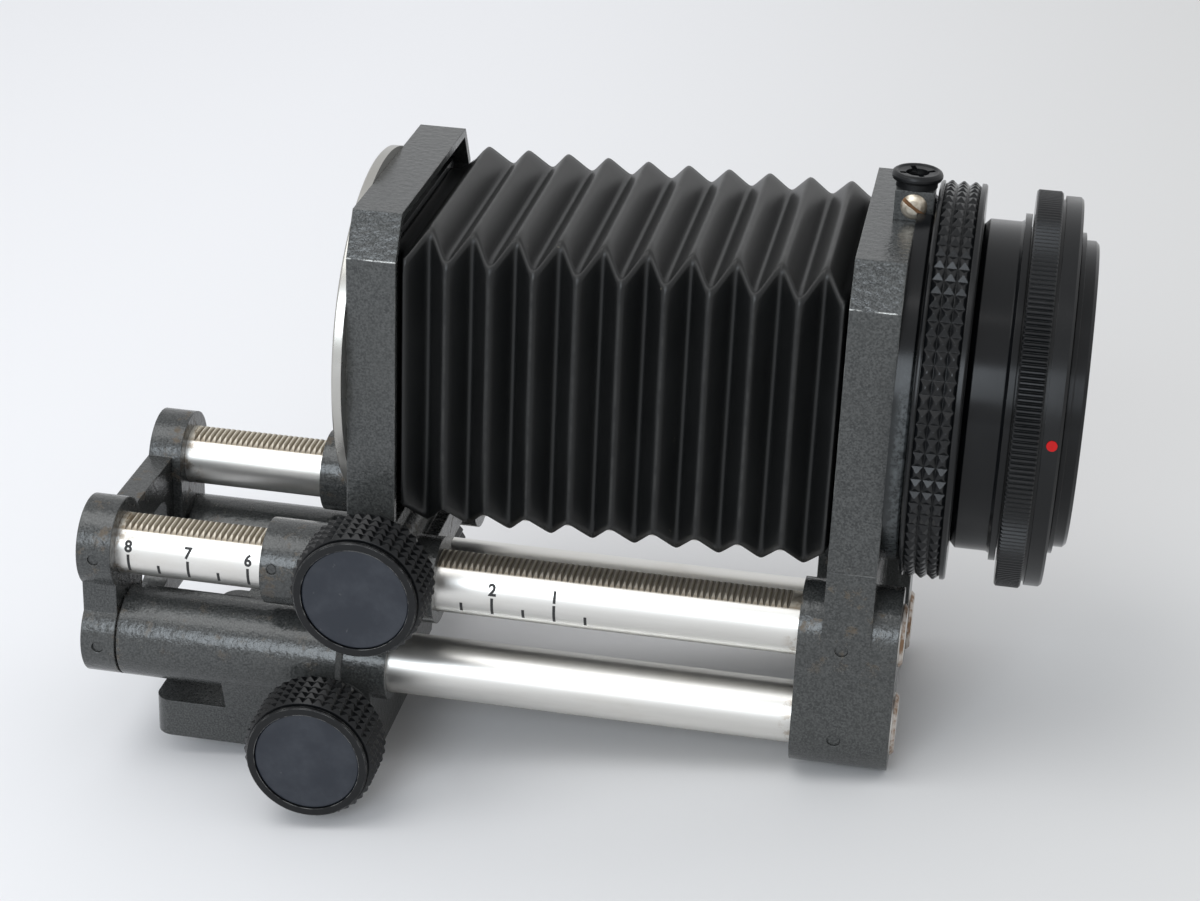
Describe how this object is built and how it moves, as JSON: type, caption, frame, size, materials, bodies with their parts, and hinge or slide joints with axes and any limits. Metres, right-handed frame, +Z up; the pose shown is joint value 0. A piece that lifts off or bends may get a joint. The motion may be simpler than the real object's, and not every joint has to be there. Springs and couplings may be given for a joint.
{
  "type": "macro bellows unit",
  "caption": "Macro bellows unit: pleated bellows between two upright frames on twin round rails, with rack drives, knurled knobs, a camera adapter and a tripod block.",
  "frame": {"origin": "centre of the tripod thread's mouth, on the underside of the foot plate", "axes": "+X along the rails towards the camera adapter, +Z up along the uprights, -Y towards the drive knobs"},
  "size_m": [0.1556, 0.0803, 0.104],
  "materials": {
    "casting": "hammertone grey enamel with worn bright edges",
    "rod_steel": "satin bright plating",
    "black_knob": "black anodised, satin",
    "blue_black_disc": "blue-black satin",
    "black_anodised": "black anodised, semi-gloss",
    "bellows_cloth": "black coated bellows cloth, satin",
    "chrome_ring": "polished",
    "bright_screw": "bright with a little rust",
    "dark_pin": "dull grey",
    "shaft_steel": "ground",
    "bush_brass": "plain",
    "red_dot": "gloss"
  },
  "bodies": {
    "block": {"tripod_block": "casting", "tripod_bush": "bush_brass", "lower_shaft_bushes": "bush_brass"},
    "lower_pinion": {"lower_pinion_shaft": "shaft_steel", "lower_drive_knob": "black_knob", "lower_knob_cap": "blue_black_disc", "lower_knob_screw": "bright_screw"},
    "lower_lock": {"lower_lock_knob": "black_knob", "lower_lock_cap": "blue_black_disc"},
    "rail_frame": {"near_upper_rail": "rod_steel", "far_upper_rail": "rod_steel", "near_lower_rail": "rod_steel", "far_lower_rail": "rod_steel", "end_bracket": "casting", "end_bracket_pins": "dark_pin", "camera_foot": "casting", "camera_foot_pins": "dark_pin", "camera_frame": "casting", "camera_frame_screws": "bright_screw", "mount_flange": "black_anodised", "mount_flange_screws": "bright_screw", "adapter_body": "black_anodised", "bayonet_nose": "black_anodised", "release_block": "casting", "release_socket": "black_knob", "release_spring": "bright_screw", "release_screw": "bright_screw", "bellows": "bellows_cloth", "bellows_camera_plate": "black_anodised"},
    "lock_ring": {"locking_ring": "black_knob"},
    "breech": {"breech_ring": "black_anodised", "index_dot": "red_dot"},
    "plunger": {"release_plunger": "bright_screw"},
    "standard": {"lens_standard": "casting", "lens_mount": "chrome_ring", "lens_mount_screws": "bright_screw", "bellows_lens_plate": "black_anodised", "carriage_plug": "dark_pin", "upper_shaft_bushes": "bush_brass"},
    "upper_pinion": {"upper_pinion_shaft": "shaft_steel", "upper_drive_knob": "black_knob", "upper_knob_cap": "blue_black_disc", "upper_knob_screw": "bright_screw"},
    "upper_lock": {"upper_lock_knob": "black_knob", "upper_lock_cap": "blue_black_disc"}
  },
  "joints": [
    {"name": "focus_slide", "type": "slide", "parent": "block", "child": "rail_frame", "axis": [1, 0, 0], "range_m": [-0.0655, 0]},
    {"name": "extension_slide", "type": "slide", "parent": "rail_frame", "child": "standard", "axis": [1, 0, 0], "range_m": [-0.0243, 0.0575], "deforming": ["bellows"]},
    {"name": "upper_drive", "type": "hinge", "parent": "standard", "child": "upper_pinion", "pos_m": [0.0195, 0, 0.04015], "axis": [0, 1, 0], "range_deg": [-780, 1840]},
    {"name": "lower_drive", "type": "hinge", "parent": "block", "child": "lower_pinion", "pos_m": [0.0124, 0, 0.01185], "axis": [0, 1, 0], "range_deg": [-2090, 5]},
    {"name": "upper_lock", "type": "hinge", "parent": "standard", "child": "upper_lock", "pos_m": [0.0195, 0.0284, 0.04015], "axis": [0, 1, 0], "range_deg": [-90, 0]},
    {"name": "lower_lock", "type": "hinge", "parent": "block", "child": "lower_lock", "pos_m": [0.0124, 0.031, 0.01185], "axis": [0, 1, 0], "range_deg": [-90, 0]},
    {"name": "locking_ring_turn", "type": "hinge", "parent": "rail_frame", "child": "lock_ring", "pos_m": [0.1054, 0, 0.07025], "axis": [1, 0, 0], "range_deg": [0, 60]},
    {"name": "breech_ring_turn", "type": "hinge", "parent": "rail_frame", "child": "breech", "pos_m": [0.1185, 0, 0.07025], "axis": [1, 0, 0], "range_deg": [0, 60]},
    {"name": "release_push", "type": "slide", "parent": "rail_frame", "child": "plunger", "axis": [0, 0, -1], "range_m": [0, 0.0012], "stiffness_N_per_m": 120, "springref_m": -0.0008, "deforming": ["release_spring"]}
  ],
  "couplings": [
    {"joint": "upper_drive", "follows": "extension_slide", "rad_per_m": 555.56},
    {"joint": "lower_drive", "follows": "focus_slide", "rad_per_m": 555.56}
  ]
}
